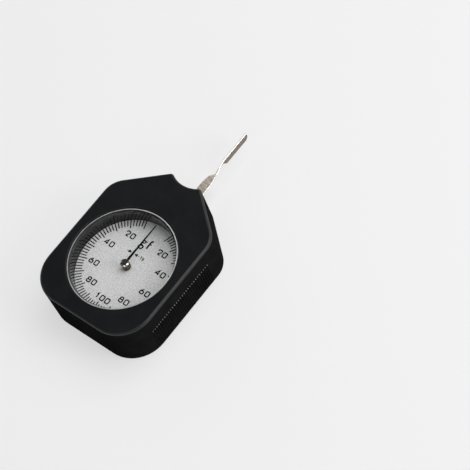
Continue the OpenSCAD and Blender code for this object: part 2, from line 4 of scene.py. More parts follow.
import bmesh
import bpy
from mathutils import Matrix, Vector


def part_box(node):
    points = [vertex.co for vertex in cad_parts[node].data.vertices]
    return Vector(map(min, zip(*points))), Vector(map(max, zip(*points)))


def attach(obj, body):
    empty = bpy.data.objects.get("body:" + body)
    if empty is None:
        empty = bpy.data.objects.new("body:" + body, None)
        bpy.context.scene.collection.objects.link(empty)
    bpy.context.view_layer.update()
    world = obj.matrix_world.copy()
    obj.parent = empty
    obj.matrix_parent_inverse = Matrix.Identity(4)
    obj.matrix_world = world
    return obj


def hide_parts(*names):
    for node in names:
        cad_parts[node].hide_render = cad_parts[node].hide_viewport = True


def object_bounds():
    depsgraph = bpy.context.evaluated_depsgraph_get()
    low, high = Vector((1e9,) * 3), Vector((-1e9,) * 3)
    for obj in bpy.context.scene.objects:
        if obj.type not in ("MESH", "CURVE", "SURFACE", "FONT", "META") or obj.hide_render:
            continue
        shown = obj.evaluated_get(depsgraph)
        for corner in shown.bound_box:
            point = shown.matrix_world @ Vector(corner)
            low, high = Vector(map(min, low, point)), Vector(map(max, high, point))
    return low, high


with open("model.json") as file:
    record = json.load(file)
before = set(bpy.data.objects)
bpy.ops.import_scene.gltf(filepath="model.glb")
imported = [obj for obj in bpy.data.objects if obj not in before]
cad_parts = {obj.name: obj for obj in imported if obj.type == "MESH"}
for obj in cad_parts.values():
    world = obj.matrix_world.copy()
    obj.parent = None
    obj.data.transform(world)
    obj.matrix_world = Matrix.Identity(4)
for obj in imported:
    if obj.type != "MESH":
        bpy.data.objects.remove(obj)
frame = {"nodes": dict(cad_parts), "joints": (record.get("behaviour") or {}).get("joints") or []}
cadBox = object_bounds()
scene = bpy.context.scene
mm = 0.001  # lengths below are in millimetres


def linear(red, green, blue):  # screen levels from 0 to 255, as linear light
    levels = [level / 255 for level in (red, green, blue)]
    return (*[v / 12.92 if v <= 0.04045 else ((v + 0.055) / 1.055) ** 2.4 for v in levels], 1)


def nodeBox(node):  # lowest and highest corner of a node in millimetres
    low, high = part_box(node)
    return low / mm, high / mm


# Small helpers for node trees

def addNode(tree, kind, x, y, values=None, **settings):
    node = tree.nodes.new(kind)
    node.location = (x, y)
    for name, value in settings.items():
        setattr(node, name, value)
    for name, value in (values or {}).items():
        node.inputs[name].default_value = value
    return node


def mathNode(tree, operation, x, y, *terms):  # each term is a number or a socket
    node = addNode(tree, "ShaderNodeMath", x, y, operation=operation)
    for entry, term in zip(node.inputs, terms):
        if isinstance(term, (int, float)):
            entry.default_value = term
        else:
            tree.links.new(term, entry)
    return node.outputs[0]


def vectorOf(tree, x, y, **axes):  # a vector from sockets, with 0 on the axes that have none
    node = addNode(tree, "ShaderNodeCombineXYZ", x, y)
    for axis, socket in axes.items():
        tree.links.new(socket, node.inputs[axis])
    return node.outputs[0]


def newGroup(name, inputs, outputs):
    tree = bpy.data.node_groups.new(name, "ShaderNodeTree")
    for label, value in inputs.items():
        entry = tree.interface.new_socket(label, in_out="INPUT", socket_type="NodeSocketFloat")
        entry.default_value = value
    for label in outputs:
        tree.interface.new_socket(label, in_out="OUTPUT", socket_type="NodeSocketFloat")
    return tree, addNode(tree, "NodeGroupInput", -900, 0), addNode(tree, "NodeGroupOutput", 500, 0)


def millimetres(tree):  # object coordinates in millimetres
    place = addNode(tree, "ShaderNodeTexCoord", -900, -250)
    scaled = addNode(tree, "ShaderNodeVectorMath", -720, -250, {"Scale": 1 / mm}, operation="SCALE")
    tree.links.new(place.outputs["Object"], scaled.inputs[0])
    return scaled.outputs[0]


# Effects that several finishes share

def makeMouldGrain():
    rates = {"Grain Per Mm": 5, "Patches Per Mm": 0.12}
    tree, enter, leave = newGroup("mouldGrain", rates, ["Grain", "Patches"])
    place = millimetres(tree)
    for output, detail, y in (("Grain", 3, 150), ("Patches", 4, -150)):
        noise = addNode(tree, "ShaderNodeTexNoise", -450, y, {"Detail": detail, "Roughness": 0.6})
        tree.links.new(place, noise.inputs["Vector"])
        tree.links.new(enter.outputs[output + " Per Mm"], noise.inputs["Scale"])
        tree.links.new(noise.outputs["Fac"], leave.inputs[output])
    return tree


def makeGrindLines():
    tree, enter, leave = newGroup("grindLines", {axis + " Per Mm": 1 for axis in "XYZ"}, ["Lines"])
    across = vectorOf(tree, -650, 100, **{axis: enter.outputs[axis + " Per Mm"] for axis in "XYZ"})
    stretched = addNode(tree, "ShaderNodeVectorMath", -450, 0, operation="MULTIPLY")
    tree.links.new(millimetres(tree), stretched.inputs[0])
    tree.links.new(across, stretched.inputs[1])
    noise = addNode(tree, "ShaderNodeTexNoise", -250, 0, {"Scale": 1, "Detail": 2, "Roughness": 0.55})
    tree.links.new(stretched.outputs[0], noise.inputs["Vector"])
    tree.links.new(noise.outputs["Fac"], leave.inputs["Lines"])
    return tree


def makeTurnedRings():
    tree, enter, leave = newGroup("turnedRings", {"Centre Y": 0, "Rings Per Mm": 6}, ["Rings"])
    offset = addNode(tree, "ShaderNodeVectorMath", -450, 0, operation="SUBTRACT")
    tree.links.new(millimetres(tree), offset.inputs[0])
    tree.links.new(vectorOf(tree, -650, 100, Y=enter.outputs["Centre Y"]), offset.inputs[1])
    flat = addNode(tree, "ShaderNodeVectorMath", -280, 0, operation="MULTIPLY")
    flat.inputs[1].default_value = (1, 1, 0)
    tree.links.new(offset.outputs[0], flat.inputs[0])
    radius = addNode(tree, "ShaderNodeVectorMath", -120, 0, operation="LENGTH")
    tree.links.new(flat.outputs[0], radius.inputs[0])
    rings = addNode(tree, "ShaderNodeTexNoise", 100, 0, {"Detail": 1}, noise_dimensions="1D")
    tree.links.new(radius.outputs["Value"], rings.inputs["W"])
    tree.links.new(enter.outputs["Rings Per Mm"], rings.inputs["Scale"])
    tree.links.new(rings.outputs["Fac"], leave.inputs["Rings"])
    return tree


mouldGrain = makeMouldGrain()
grindLines = makeGrindLines()
turnedRings = makeTurnedRings()


# Finishes

tintSpan = (0.35, 0.65)  # the noise that gives the dark tint and the light one
roughSpan = (0.3, 0.7)  # the noise that gives the glossy value and the dull one


def newMaterial(name):
    material = bpy.data.materials.new(name)
    material.use_nodes = True
    return material, material.node_tree, material.node_tree.nodes["Principled BSDF"]


def colourBetween(tree, mask, dark, light, target):
    ramp = addNode(tree, "ShaderNodeValToRGB", -450, 300)
    for stop, position, tint in zip(ramp.color_ramp.elements, tintSpan, (dark, light)):
        stop.position = position
        stop.color = tint
    tree.links.new(mask, ramp.inputs["Fac"])
    tree.links.new(ramp.outputs["Color"], target)


def valueBetween(tree, mask, low, high, target):
    limits = dict(zip(("From Min", "From Max", "To Min", "To Max"), (*roughSpan, low, high)))
    spread = addNode(tree, "ShaderNodeMapRange", -450, 0, limits)
    tree.links.new(mask, spread.inputs["Value"])
    tree.links.new(spread.outputs["Result"], target)


def bumpFrom(tree, height, depth, target):  # depth in millimetres
    bump = addNode(tree, "ShaderNodeBump", -250, -300, {"Strength": 1, "Distance": depth * mm})
    tree.links.new(height, bump.inputs["Height"])
    tree.links.new(bump.outputs["Normal"], target)


def mixSurface(tree, share, shader, other):  # goes from the first shader to the other
    mixed = addNode(tree, "ShaderNodeMixShader", 550, 100)
    tree.links.new(share, mixed.inputs["Fac"])
    tree.links.new(shader.outputs["BSDF"], mixed.inputs[1])
    tree.links.new(other.outputs[0], mixed.inputs[2])
    tree.links.new(mixed.outputs["Shader"], tree.nodes["Material Output"].inputs["Surface"])


# The group's tint output gives the colour and the gloss, and its height output gives the relief
def patternFinish(name, look, group, rates, tint, height):
    material, tree, shader = newMaterial(name)
    pattern = addNode(tree, "ShaderNodeGroup", -750, 100, rates, node_tree=group)
    colourBetween(tree, pattern.outputs[tint], look["dark"], look["light"], shader.inputs["Base Color"])
    valueBetween(tree, pattern.outputs[tint], *look["rough"], shader.inputs["Roughness"])
    bumpFrom(tree, pattern.outputs[height], look["depth"], shader.inputs["Normal"])
    return material, shader


def plasticFinish(name, look):
    rates = {"Grain Per Mm": look["grain"], "Patches Per Mm": look["patches"]}
    material, shader = patternFinish(name, look, mouldGrain, rates, "Patches", "Grain")
    shader.inputs["Specular IOR Level"].default_value = look["specular"]
    return material


def metalFinish(name, look):
    rates = {axis + " Per Mm": rate for axis, rate in zip("XYZ", look["lines"])}
    material, shader = patternFinish(name, look, grindLines, rates, "Lines", "Lines")
    shader.inputs["Metallic"].default_value = 1
    return material


def turnedFinish(name, look):
    rates = {"Centre Y": look["centre"], "Rings Per Mm": look["rings"]}
    material, shader = patternFinish(name, look, turnedRings, rates, "Rings", "Rings")
    shader.inputs["Metallic"].default_value = 1
    return material


pivotY = frame["joints"][0]["pos_m"][1] / mm  # the lever's pivot in the nose
plastics = {
    "caseBlack": dict(
        dark=linear(18, 19, 21), light=linear(22, 23, 25), rough=(0.32, 0.4), grain=4, patches=0.1,
        depth=0.015, specular=0.18),
    # a copy of the case's black without gloss, for the upright walls: painted shade
    "caseSidePaintedShade": dict(
        dark=linear(27, 27, 28), light=linear(34, 34, 35), rough=(0.54, 0.64), grain=4, patches=0.1,
        depth=0.015, specular=0),
    # a glossier copy of the case's black, for the rounded edges: painted sheen
    "caseEdgePaintedSheen": dict(
        dark=linear(20, 21, 23), light=linear(26, 27, 29), rough=(0.46, 0.54), grain=4, patches=0.3,
        depth=0.01, specular=0.56),
    # lighter black for the ribs' top ends: painted highlight
    "ribEndPaintedHighlight": dict(
        dark=linear(66, 66, 68), light=linear(98, 98, 100), rough=(0.3, 0.4), grain=4, patches=0.3,
        depth=0.01, specular=0.65),
    "rimBlack": dict(
        dark=linear(2, 2, 3), light=linear(4, 4, 5), rough=(0.002, 0.006), grain=2, patches=0.2,
        depth=0.0001, specular=0.5),
    "dialSilver": dict(
        dark=linear(176, 177, 177), light=linear(214, 214, 213), rough=(0.45, 0.55), grain=5, patches=1.7,
        depth=0.02, specular=0.3),
    "printBlack": dict(
        dark=linear(4, 4, 5), light=linear(12, 12, 13), rough=(0.5, 0.6), grain=6, patches=2,
        depth=0.004, specular=0.1),
    "needleBlack": dict(
        dark=linear(3, 3, 3), light=linear(7, 7, 7), rough=(0.5, 0.62), grain=8, patches=0.6,
        depth=0.006, specular=0.08),
    "seatGrey": dict(
        dark=linear(54, 54, 55), light=linear(66, 66, 67), rough=(0.5, 0.6), grain=5, patches=0.4,
        depth=0.006, specular=0.2),
    # light grey of the crystal's bevel ring: painted highlight
    "bevelPaintedHighlight": dict(
        dark=linear(172, 173, 173), light=linear(208, 208, 207), rough=(0.3, 0.45), grain=6, patches=0.4,
        depth=0.01, specular=0.5),
}
metals = {
    "stylusSteel": dict(
        dark=linear(191, 179, 165), light=linear(232, 221, 210), rough=(0.36, 0.5),
        lines=(0.25, 2.4, 0.25), depth=0.02),
    # darker steel for the blade's flats past the middle of the twist: painted shade
    "bladePaintedShade": dict(
        dark=linear(118, 109, 100), light=linear(160, 150, 139), rough=(0.36, 0.5),
        lines=(0.25, 2.4, 0.25), depth=0.012),
    # lighter steel for the strip's rounded edges: painted highlight
    "stylusEdgePaintedHighlight": dict(
        dark=linear(222, 216, 208), light=linear(244, 240, 234), rough=(0.28, 0.4),
        lines=(0.6, 3, 0.6), depth=0.006),
    "steel": dict(
        dark=linear(150, 151, 154), light=linear(188, 189, 191), rough=(0.25, 0.4),
        lines=(0.8, 5, 0.8), depth=0.006),
    "springSteel": dict(
        dark=linear(48, 58, 84), light=linear(74, 88, 118), rough=(0.22, 0.35),
        lines=(1, 1, 6), depth=0.004),
    "brass": dict(
        dark=linear(176, 142, 78), light=linear(206, 172, 104), rough=(0.28, 0.42),
        lines=(0.4, 6, 0.4), depth=0.006),
    # dark brass with light vertical streaks on the pointer bush: painted glints
    "bushPaintedGlints": dict(
        dark=linear(22, 17, 11), light=linear(128, 110, 82), rough=(0.06, 0.14),
        lines=(1.1, 1.1, 0.25), depth=0.004),
    "screwBlack": dict(
        dark=linear(52, 52, 54), light=linear(74, 74, 77), rough=(0.34, 0.48),
        lines=(4, 0.6, 4), depth=0.008),
}
turnings = {
    "hubMetal": dict(
        dark=linear(224, 218, 210), light=linear(244, 240, 234), rough=(0.16, 0.22), centre=0, rings=5,
        depth=0.002),
    # darker copy of the hub metal for the cap's flat top: painted dark reflection
    "capTopPaintedReflection": dict(
        dark=linear(104, 102, 97), light=linear(132, 130, 124), rough=(0.12, 0.2), centre=0, rings=5,
        depth=0.004),
    "leverBrass": dict(
        dark=linear(176, 142, 78), light=linear(206, 172, 104), rough=(0.24, 0.36), centre=pivotY, rings=5,
        depth=0.006),
}
finishes = {}
for makeFinish, looks in ((plasticFinish, plastics), (metalFinish, metals), (turnedFinish, turnings)):
    for name, look in looks.items():
        finishes[name] = makeFinish(name, look)


glassLook = {"patches": 0.05, "rough": (0, 0.015), "refraction": 1.45, "mirror": (0.4, 0.4, 0.4, 1)}


def makeCrystalGlass():
    look = glassLook
    material, tree, shader = newMaterial("crystalGlass")
    rates = {"Patches Per Mm": look["patches"]}
    grain = addNode(tree, "ShaderNodeGroup", -750, 100, rates, node_tree=mouldGrain)
    valueBetween(tree, grain.outputs["Patches"], *look["rough"], shader.inputs["Roughness"])
    shader.inputs["Base Color"].default_value = (1, 1, 1, 1)
    shader.inputs["IOR"].default_value = look["refraction"]
    shader.inputs["Specular Tint"].default_value = look["mirror"]
    shader.inputs["Transmission Weight"].default_value = 1
    clear = addNode(tree, "ShaderNodeBsdfTransparent", 300, -200)
    path = addNode(tree, "ShaderNodeLightPath", 300, 400)
    mixSurface(tree, path.outputs["Is Shadow Ray"], shader, clear)  # light reaches the dial
    return material


finishes["crystalGlass"] = makeCrystalGlass()
print("finishes:", len(finishes))


# Meshes

weldGap = 0.0005  # corners nearer than this are one
flatTurn = 0.2  # degrees, up to which neighbouring triangles are one flat
sameHeight = 0.001


def newPiece(name, mesh, layers, body, slot, *nodes):
    piece = bpy.data.objects.new(name, mesh)
    scene.collection.objects.link(piece)
    for layer in layers:
        mesh.materials.append(finishes[layer])
    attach(piece, body)
    if nodes:
        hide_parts(*nodes)
    return piece


def smoothShade(mesh, angle):
    mesh.polygons.foreach_set("use_smooth", [True] * len(mesh.polygons))
    mesh.set_sharp_from_angle(angle=math.radians(angle))


def meshFrom(name, shape, angle):  # takes the bmesh and frees it
    mesh = bpy.data.meshes.new(name)
    shape.to_mesh(mesh)
    shape.free()
    smoothShade(mesh, angle)
    return mesh


def weldedCopy(node):  # a bmesh of a node with its triangles joined and its flats made whole
    shape = bmesh.new()
    shape.from_mesh(frame["nodes"][node].data)
    bmesh.ops.remove_doubles(shape, verts=shape.verts, dist=weldGap * mm)
    flat = math.radians(flatTurn)
    bmesh.ops.dissolve_limit(shape, angle_limit=flat, verts=shape.verts, edges=shape.edges)
    return shape


def evenNormals(piece):
    weighted = piece.modifiers.new("evenNormals", "WEIGHTED_NORMAL")
    weighted.keep_sharp = True


def lathe(profile, steps):  # a closed profile of radii and heights, turned about the dial's axis
    shape = bmesh.new()
    ring = [shape.verts.new((r * mm, 0, z * mm)) for r, z in profile]
    loop = [shape.edges.new((ring[i], ring[(i + 1) % len(ring)])) for i in range(len(ring))]
    bmesh.ops.spin(
        shape, geom=ring + loop, cent=(0, 0, 0), axis=(0, 0, 1), angle=2 * math.pi, steps=steps)
    bmesh.ops.remove_doubles(shape, verts=shape.verts, dist=weldGap * mm)
    bmesh.ops.recalc_face_normals(shape, faces=shape.faces)
    return shape


caseLook = {
    "name": "case_shell", "lip": 0.18, "ribHeight": 0.45, "ribEdge": 0.32, "ribClear": 0.02, "edgeSteps": 3,
    "sharp": 34, "upright": 0.1, "level": 0.97,
}


def makeCase():
    look = caseLook
    shape = weldedCopy("front_case")
    high = nodeBox("front_case")[1]
    reach = nodeBox("dial_rim")[1].x
    flank = high.x - look["ribHeight"] / 2
    ribTop = max(v.co.z for v in shape.verts if abs(v.co.x) > flank * mm)

    def onLip(corner):
        return abs(corner.co.z / mm - high.z) < sameHeight and corner.co.xy.length / mm < reach

    def onRibTop(corner):
        return corner.co.z > ribTop - sameHeight * mm and abs(corner.co.x) > flank * mm

    lip = [edge for edge in shape.edges if all(onLip(corner) for corner in edge.verts)]
    ribs = [edge for edge in shape.edges if all(onRibTop(corner) for corner in edge.verts)]
    for edges, width in ((lip, look["lip"]), (ribs, look["ribEdge"])):
        bmesh.ops.bevel(
            shape, geom=edges, offset=width * mm, segments=look["edgeSteps"], profile=0.5, affect="EDGES")
    shape.normal_update()
    ribRoot = (high.x - look["ribHeight"] + look["ribClear"]) * mm
    for face in shape.faces:  # upright walls get a copy of the black without gloss, a painted shade; rounded edges get a glossier copy, a painted sheen; and the ribs' ends are lighter, a painted highlight
        lean = abs(face.normal.z)
        onRib = abs(face.calc_center_median().x) > ribRoot
        flat = 0 if lean > look["level"] else 2
        face.material_index = 1 if lean < look["upright"] else 3 if onRib else flat
    mesh = meshFrom(look["name"], shape, look["sharp"])
    layers = ("caseBlack", "caseSidePaintedShade", "caseEdgePaintedSheen", "ribEndPaintedHighlight")
    evenNormals(newPiece(look["name"], mesh, layers, "case", "case_black", "front_case"))


makeCase()
print("case made")


# the bevel's black outer band stands for the gap at the window's edge, and is partly painted shadow
crystalLook = {
    "name": "crystal_glass", "bevel": 0.8, "drop": 0.2, "gapShadeBand": 0.3, "seat": 1.4, "recess": 0.03,
    "sloping": 0.9, "level": 0.995, "sharp": 8, "steps": 128,
}


def makeCrystal():
    look = crystalLook
    low, high = nodeBox("crystal")
    r, bottom, top = high.x, low.z, high.z
    gapShadeTop = top - look["drop"] * (1 - look["gapShadeBand"] / look["bevel"])
    seatTop = bottom + look["recess"]
    seatEdge = r - look["seat"]
    profile = [(0, bottom), (seatEdge, bottom), (seatEdge, seatTop), (r, seatTop),
               (r, top - look["drop"]), (r - look["gapShadeBand"], gapShadeTop), (r - look["bevel"], top), (0, top)]
    shape = lathe(profile, look["steps"])
    for face in shape.faces:  # a bevel in light grey, a painted highlight, with a black outer band for the gap at the window's edge, partly painted shadow; a grey seat, and clear glass
        middle = face.calc_center_median()
        onBevel = look["sloping"] < face.normal.z < look["level"]
        inGapShade = middle.z < gapShadeTop * mm
        onSeat = face.normal.z < -look["sloping"] and middle.xy.length > seatEdge * mm
        face.material_index = (2 if inGapShade else 1) if onBevel else 3 if onSeat else 0
    mesh = meshFrom(look["name"], shape, look["sharp"])
    layers = ("crystalGlass", "bevelPaintedHighlight", "rimBlack", "seatGrey")
    newPiece(look["name"], mesh, layers, "case", "clear", "crystal")


makeCrystal()
print("crystal made")


# Trees that make a piece

def newGeometryTree(name, look):  # an input for each setting, and one for the material
    tree = bpy.data.node_groups.new(name, "GeometryNodeTree")
    for label, value in look.items():
        kind = "NodeSocketInt" if isinstance(value, int) else "NodeSocketFloat"
        tree.interface.new_socket(label, in_out="INPUT", socket_type=kind)
    tree.interface.new_socket("Material", in_out="INPUT", socket_type="NodeSocketMaterial")
    tree.interface.new_socket("Geometry", in_out="OUTPUT", socket_type="NodeSocketGeometry")
    return tree, addNode(tree, "NodeGroupInput", -1400, 0), addNode(tree, "NodeGroupOutput", 1000, 0)


def finishTree(tree, geometry, enter, leave):
    real = addNode(tree, "GeometryNodeRealizeInstances", 550, 100)
    paint = addNode(tree, "GeometryNodeSetMaterial", 750, 100)
    tree.links.new(geometry, real.inputs["Geometry"])
    tree.links.new(real.outputs["Geometry"], paint.inputs["Geometry"])
    tree.links.new(enter.outputs["Material"], paint.inputs["Material"])
    tree.links.new(paint.outputs["Geometry"], leave.inputs["Geometry"])


def bakeTree(name, tree, look, layers, body, slot, *nodes):  # the tree's result as a plain mesh
    carrier = bpy.data.objects.new(name + "_carrier", bpy.data.meshes.new(name + "_carrier"))
    scene.collection.objects.link(carrier)
    modifier = carrier.modifiers.new(name, "NODES")
    modifier.node_group = tree
    values = {**look, "Material": finishes[layers[0]]}
    for item in tree.interface.items_tree:
        if item.in_out == "INPUT":
            modifier[item.identifier] = values[item.name]
    carrier.update_tag()
    evaluated = carrier.evaluated_get(bpy.context.evaluated_depsgraph_get())
    mesh = bpy.data.meshes.new_from_object(evaluated)
    mesh.name = name
    carrier.modifiers.remove(modifier)
    bpy.data.objects.remove(carrier)
    mesh.materials.clear()
    return newPiece(name, mesh, layers, body, slot, *nodes)


# Dial print

dialTop = nodeBox("dial_plate")[1].z
printDepth = 0.02  # thickness of the print on the dial
printLayer = (dialTop - printDepth / 2, dialTop + printDepth / 2)
printSharp = 40
scaleLook = {
    "Count": 91, "First Angle": math.radians(18), "Step": math.radians(3.6), "Long Every": 5,
    "Outer Radius": 23.85 * mm, "Long Length": 4.1 * mm, "Short Length": 3.1 * mm,
    "Long Width": 0.56 * mm, "Short Width": 0.54 * mm, "Depth": printDepth * mm, "Height": dialTop * mm,
}


def makeScaleTree():
    tree, enter, leave = newGeometryTree("scaleTicks", scaleLook)
    wire, use = tree.links.new, enter.outputs
    row = addNode(tree, "GeometryNodeMeshLine", -1000, 300)
    wire(use["Count"], row.inputs["Count"])
    index = addNode(tree, "GeometryNodeInputIndex", -1200, -200).outputs[0]
    angle = mathNode(tree, "MULTIPLY_ADD", -1000, -100, index, use["Step"], use["First Angle"])
    sinceLong = mathNode(tree, "MODULO", -1000, -300, index, use["Long Every"])
    isLong = mathNode(tree, "LESS_THAN", -800, -300, sinceLong, 0.5)

    def pick(label, y):  # the long value on long ticks and the short one on the others
        gain = mathNode(tree, "SUBTRACT", -800, y, use["Long " + label], use["Short " + label])
        return mathNode(tree, "MULTIPLY_ADD", -600, y, isLong, gain, use["Short " + label])

    length, width = pick("Length", -450), pick("Width", -600)
    middle = mathNode(tree, "MULTIPLY_ADD", -400, -450, length, -0.5, use["Outer Radius"])
    across = mathNode(tree, "MULTIPLY", -400, 0, middle, mathNode(tree, "SINE", -600, 0, angle))
    along = mathNode(tree, "MULTIPLY", -400, -150, middle, mathNode(tree, "COSINE", -600, -150, angle))
    spread = addNode(tree, "GeometryNodeSetPosition", 0, 300)
    wire(row.outputs["Mesh"], spread.inputs["Geometry"])
    wire(vectorOf(tree, -200, 0, X=across, Y=along, Z=use["Height"]), spread.inputs["Position"])
    bar = addNode(tree, "GeometryNodeMeshCube", 0, 50)
    ticks = addNode(tree, "GeometryNodeInstanceOnPoints", 300, 200)
    wire(spread.outputs["Geometry"], ticks.inputs["Points"])
    wire(bar.outputs["Mesh"], ticks.inputs["Instance"])
    turn = mathNode(tree, "MULTIPLY", -200, -200, angle, -1)
    wire(vectorOf(tree, 0, -200, Z=turn), ticks.inputs["Rotation"])
    wire(vectorOf(tree, 0, -400, X=width, Y=length, Z=use["Depth"]), ticks.inputs["Scale"])
    finishTree(tree, ticks.outputs["Instances"], enter, leave)
    return tree


bakeTree("dial_scale", makeScaleTree(), scaleLook, ["printBlack"], "case", "needle_black")
print("scale made:", scaleLook["Count"], "ticks")


figureLook = {"height": 2.95, "width": 2.45, "stroke": 0.6, "gap": 0.5}
# The right-hand numbers, which the left side mirrors, and the one at the bottom
numberPlaces = {"20": (9.4, 13.4), "40": (15.1, 5.25), "60": (15.05, -5.6), "80": (9.6, -13.65)}
lastNumber = ("100", (0.3, -17.6))
# Each figure is strokes in a box of 1 by 1: points, whether it closes, and its corner radius as a share
figureStrokes = {
    "0": [([(0, 0), (1, 0), (1, 1), (0, 1)], True, 0.2)],
    "1": [([(0.28, 0.76), (0.62, 1), (0.62, 0)], False, 0)],
    "2": [([(0.03, 0.7), (0.03, 1), (1, 1), (1, 0.56), (0, 0), (1, 0)], False, 0.26)],
    "4": [([(0.74, 0), (0.74, 1), (0, 0.28), (1, 0.28)], False, 0)],
    "6": [([(0.72, 1), (0, 0.46), (0, 0.2)], False, 0.2),
          ([(0, 0), (1, 0), (1, 0.56), (0, 0.56)], True, 0.2)],
    "8": [([(0, 0), (1, 0), (1, 0.53), (0, 0.53)], True, 0.2),
          ([(0.08, 0.53), (0.92, 0.53), (0.92, 1), (0.08, 1)], True, 0.2)],
}
strokeLook = {"arcSteps": 5, "closedShare": 0.5, "openShare": 0.48, "shortest": 1e-6, "mitre": 0.4}


def softened(points, radius, closed):  # corners replaced by arcs of at most that radius
    look = strokeLook
    count = len(points)
    share = look["closedShare" if closed else "openShare"]  # of a side, the most that one arc takes
    path = []
    for i, corner in enumerate(points):
        if not closed and i in (0, count - 1):
            path.append(corner)
            continue
        before, after = points[i - 1] - corner, points[(i + 1) % count] - corner
        half = before.angle(after) / 2
        run = min(radius / math.tan(half), share * before.length, share * after.length)
        if run < look["shortest"]:
            path.append(corner)
            continue
        bend = run * math.tan(half)
        inward = (before.normalized() + after.normalized()).normalized()
        middle = corner + inward * (bend / math.sin(half))
        start = corner + before.normalized() * run - middle
        end = corner + after.normalized() * run - middle
        for k in range(look["arcSteps"] + 1):
            path.append(middle + start.slerp(end, k / look["arcSteps"]).normalized() * bend)
    return path


def addRibbon(shape, path, width, closed, low, high):  # a flat stroke with square ends
    count = len(path)
    rings = []
    for i, point in enumerate(path):
        ahead = path[(i + 1) % count] - point if closed or i < count - 1 else point - path[i - 1]
        behind = point - path[i - 1] if closed or i > 0 else ahead
        side = (ahead.normalized() + behind.normalized()).normalized().orthogonal()
        stretch = 1 / max(strokeLook["mitre"], side.dot(ahead.normalized().orthogonal()))
        offset = side * (width / 2 * stretch)
        left, right = point + offset, point - offset
        corners = [(left, low), (right, low), (right, high), (left, high)]
        rings.append([shape.verts.new((p.x * mm, p.y * mm, z * mm)) for p, z in corners])
    for a, b in zip(rings, rings[1:] + (rings[:1] if closed else [])):
        for k in range(4):
            shape.faces.new((a[k], a[(k + 1) % 4], b[(k + 1) % 4], b[k]))
    if not closed:
        shape.faces.new(rings[0][::-1])
        shape.faces.new(rings[-1])


def addPlate(shape, points, low, high):  # a flat filled shape
    rings = [[shape.verts.new((x * mm, y * mm, z * mm)) for x, y in points] for z in (low, high)]
    count = len(points)
    for i in range(count):
        j = (i + 1) % count
        shape.faces.new((rings[0][i], rings[0][j], rings[1][j], rings[1][i]))
    for ring in rings:
        shape.faces.new(ring)


def addStroke(shape, points, closed, corner, stroke):
    path = softened([Vector(point) for point in points], corner, closed)
    addRibbon(shape, path, stroke, closed, *printLayer)


def addFigure(shape, figure, left, low, look):  # the strokes keep inside the figure's box
    edge = look["stroke"] / 2
    wide, tall = look["width"] - look["stroke"], look["height"] - look["stroke"]
    for points, closed, corner in figureStrokes[figure]:
        spots = [(left + edge + x * wide, low + edge + y * tall) for x, y in points]
        addStroke(shape, spots, closed, corner * tall, look["stroke"])


def addNumber(shape, number, middle):  # upright, with its middle at that point
    look = figureLook
    pitch = look["width"] + look["gap"]
    left = middle[0] - (len(number) * pitch - look["gap"]) / 2
    for i, figure in enumerate(number):
        addFigure(shape, figure, left + i * pitch, middle[1] - look["height"] / 2, look)


def printPiece(name, shape):
    bmesh.ops.recalc_face_normals(shape, faces=shape.faces)
    newPiece(name, meshFrom(name, shape, printSharp), ["printBlack"], "case", "needle_black")


def makeFigures():
    shape = bmesh.new()
    for number, (x, y) in numberPlaces.items():
        for side in (-1, 1):
            addNumber(shape, number, (side * x, y))
    addNumber(shape, *lastNumber)
    printPiece("dial_figures", shape)


# Unit mark above the hub, and below it two arrows that face each other over one division and its value
unitLook = {
    "stem": 0.88, "thick": 0.75, "bowl": 0.62, "thin": 0.5, "link": 0.4, "shaft": 0.28, "fine": 0.31,
    "arrowY": 6.85, "headHalf": 0.85,
}
unitStrokes = [
    ([(-2.2, 13.3), (-1.0, 13.3), (-0.75, 14.5), (-1.95, 14.5)], True, 0.6, "bowl"),
    ([(-0.85, 14.3), (-0.05, 14.55)], False, 0, "thin"),
    ([(-2.0, 13.3), (-2.3, 12.6), (-1.3, 12.3), (-0.6, 12)], False, 0.3, "link"),
    ([(-2.8, 10.35), (-0.75, 10.35), (-0.15, 11.95), (-2.45, 11.95)], True, 0.75, "thick"),
    ([(1.45, 11.9), (1.38, 14.8), (1.6, 15.85), (2.35, 15.95)], False, 0.7, "stem"),
    ([(0.95, 14.2), (2.55, 14.2)], False, 0, "thin"),
    ([(1.05, 11.88), (1.85, 11.88)], False, 0, "thin"),
    ([(3.25, 6.55), (3.95, 6.55), (3.95, 7.3), (3.25, 7.3)], True, 0.3, "fine"),
    ([(3.95, 7.3), (3.95, 5.9), (3.2, 5.9)], False, 0.3, "fine"),
]
arrows = [dict(tail=-5.7, neck=-4.75, tip=-2.85), dict(tail=1.3, neck=0.2, tip=-1.5)]
stepFigure = dict(figure="2", left=1.9, low=6.2, width=0.85, height=1.45, stroke=0.31)


def makeUnit():
    look = unitLook
    shape = bmesh.new()
    for points, closed, corner, stroke in unitStrokes:
        addStroke(shape, points, closed, corner, look[stroke])
    y, half = look["arrowY"], look["headHalf"]
    for arrow in arrows:
        neck = arrow["neck"]
        addStroke(shape, [(arrow["tail"], y), (neck, y)], False, 0, look["shaft"])
        addPlate(shape, [(neck, y - half), (arrow["tip"], y), (neck, y + half)], *printLayer)
    addFigure(shape, stepFigure["figure"], stepFigure["left"], stepFigure["low"], stepFigure)
    printPiece("dial_unit", shape)


makeFigures()
makeUnit()
print("figures made")


# Pointer

capLook = {
    "name": "hub_cap", "edge": 0.4, "dish": 1.3, "dishDepth": 0.1, "dishSlope": 0.15, "bore": 0.65,
    "roof": 0.2, "level": 0.75, "sharp": 30, "steps": 72,
}


